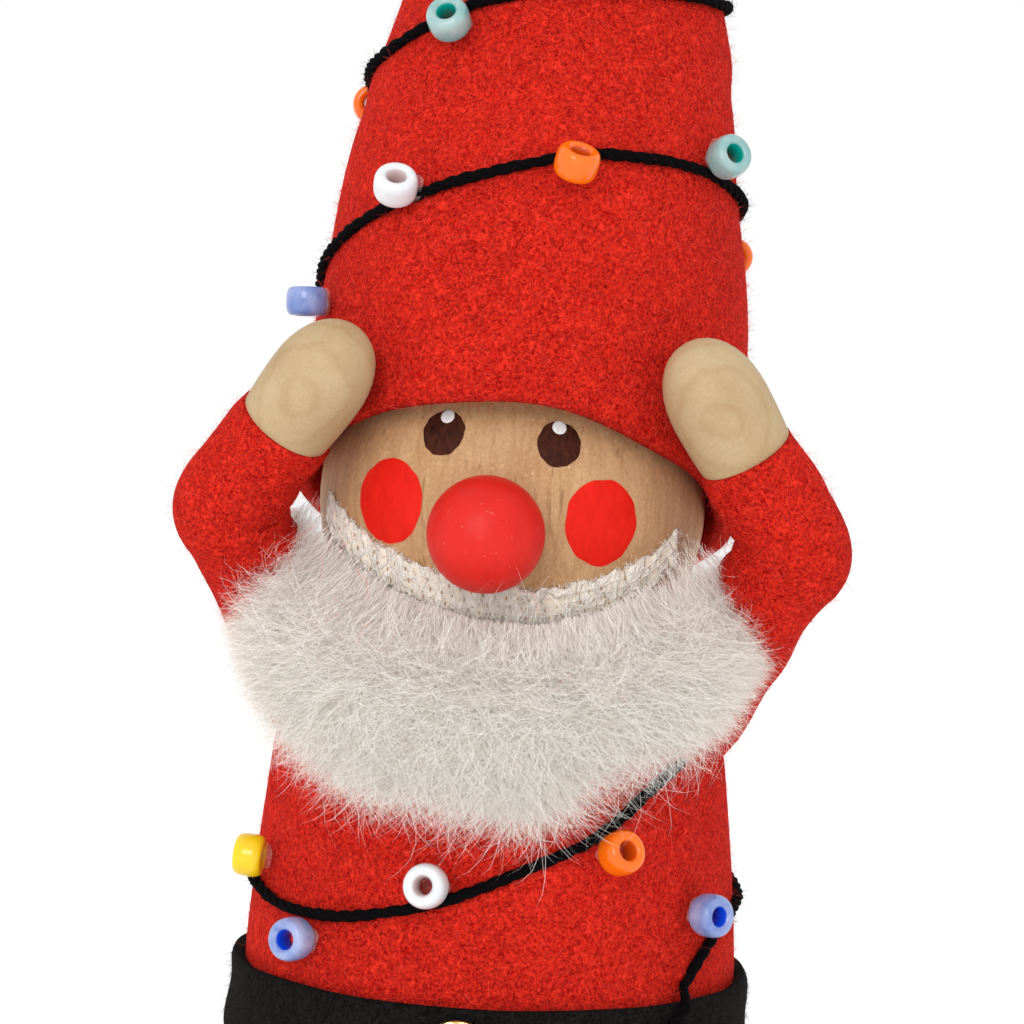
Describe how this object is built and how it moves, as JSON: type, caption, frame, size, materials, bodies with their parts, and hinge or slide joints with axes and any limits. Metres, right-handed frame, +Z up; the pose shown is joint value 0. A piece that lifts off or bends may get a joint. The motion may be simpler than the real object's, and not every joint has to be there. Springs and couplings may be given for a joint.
{
  "type": "gnome figurine",
  "caption": "Felt-dressed wooden gnome figurine that holds its tall hat with both raised arms, wound about with a yarn string of glass beads; the arms bend.",
  "frame": {"origin": "middle of the base's underside, on the surface that the figure stands on", "axes": "+Z up along the body towards the hat's tip; the figure faces -Y; its left arm is on +X"},
  "size_m": [0.0592, 0.0595, 0.1799],
  "materials": {
    "beech": "turned, sanded, bare",
    "maple": "turned, sanded, bare, with fine upright grain",
    "red_lacquer": "red lacquer on wood, satin",
    "brown_paint": "thin brown paint, satin",
    "white_paint": "thin white paint",
    "red_paint": "thin red paint, satin",
    "red_felt": "wool felt, napped",
    "black_felt": "wool felt, napped",
    "wadding": "polyester wadding",
    "black_yarn": "two-ply twisted yarn",
    "white_wool": "combed wool roving",
    "wool_backing": "machine-stitched wool backing",
    "brass": "hammered, polished",
    "soft_wire": "bare annealed wire",
    "teal_glass": "opaque pale teal glass with a pearl lustre",
    "blue_glass": "opaque pale blue glass with a pearl lustre and a vivid blue hole",
    "white_glass": "opaque white glass with a pearl lustre",
    "orange_glass": "opaque orange glass",
    "yellow_glass": "opaque yellow glass"
  },
  "bodies": {
    "figure": {"body_core": "beech", "neck_dowel": "beech", "head": "maple", "nose": "red_lacquer", "nose_peg": "beech", "eye_left": "brown_paint", "eye_right": "brown_paint", "eye_glints": "white_paint", "cheek_left": "red_paint", "cheek_right": "red_paint", "hat": "red_felt", "hat_filling": "wadding", "hat_cord": "black_yarn", "beard": "white_wool", "beard_band": "wool_backing", "coat": "red_felt", "belt": "black_felt", "belt_stud": "brass", "coat_cord": "black_yarn", "foot_left": "beech", "foot_right": "beech", "foot_dowels": "beech", "wire_core": "soft_wire", "hat_bead_1": "blue_glass", "hat_bead_2": "white_glass", "hat_bead_3": "orange_glass", "hat_bead_4": "teal_glass", "hat_bead_5": "orange_glass", "hat_bead_6": "blue_glass", "hat_bead_7": "white_glass", "hat_bead_8": "yellow_glass", "hat_bead_9": "orange_glass", "hat_bead_10": "teal_glass", "hat_bead_11": "white_glass", "hat_bead_12": "yellow_glass", "hat_bead_13": "orange_glass", "hat_bead_14": "blue_glass", "hat_bead_15": "teal_glass", "coat_bead_1": "yellow_glass", "coat_bead_2": "blue_glass", "coat_bead_3": "white_glass", "coat_bead_4": "orange_glass", "coat_bead_5": "blue_glass", "coat_bead_6": "yellow_glass", "coat_bead_7": "orange_glass", "coat_bead_8": "white_glass", "coat_bead_9": "teal_glass", "coat_bead_10": "orange_glass", "coat_bead_11": "white_glass"},
    "upper_arm_left": {"sleeve_upper_left": "red_felt", "wire_upper_left": "soft_wire"},
    "upper_arm_right": {"sleeve_upper_right": "red_felt", "wire_upper_right": "soft_wire"},
    "forearm_left": {"sleeve_fore_left": "red_felt", "wire_fore_left": "soft_wire", "hand_left": "beech"},
    "forearm_right": {"sleeve_fore_right": "red_felt", "wire_fore_right": "soft_wire", "hand_right": "beech"}
  },
  "joints": [
    {"name": "shoulder_left", "type": "hinge", "parent": "figure", "child": "upper_arm_left", "pos_m": [0.017, -0.001, 0.059], "axis": [0, 1, 0], "range_deg": [0, 70]},
    {"name": "shoulder_right", "type": "hinge", "parent": "figure", "child": "upper_arm_right", "pos_m": [-0.017, -0.001, 0.059], "axis": [0, -1, 0], "range_deg": [0, 70]},
    {"name": "elbow_left", "type": "hinge", "parent": "upper_arm_left", "child": "forearm_left", "pos_m": [0.026, -0.0123, 0.0763], "axis": [0, 1, 0], "range_deg": [0, 65]},
    {"name": "elbow_right", "type": "hinge", "parent": "upper_arm_right", "child": "forearm_right", "pos_m": [-0.0238, -0.0142, 0.0776], "axis": [0, -1, 0], "range_deg": [0, 65]}
  ]
}
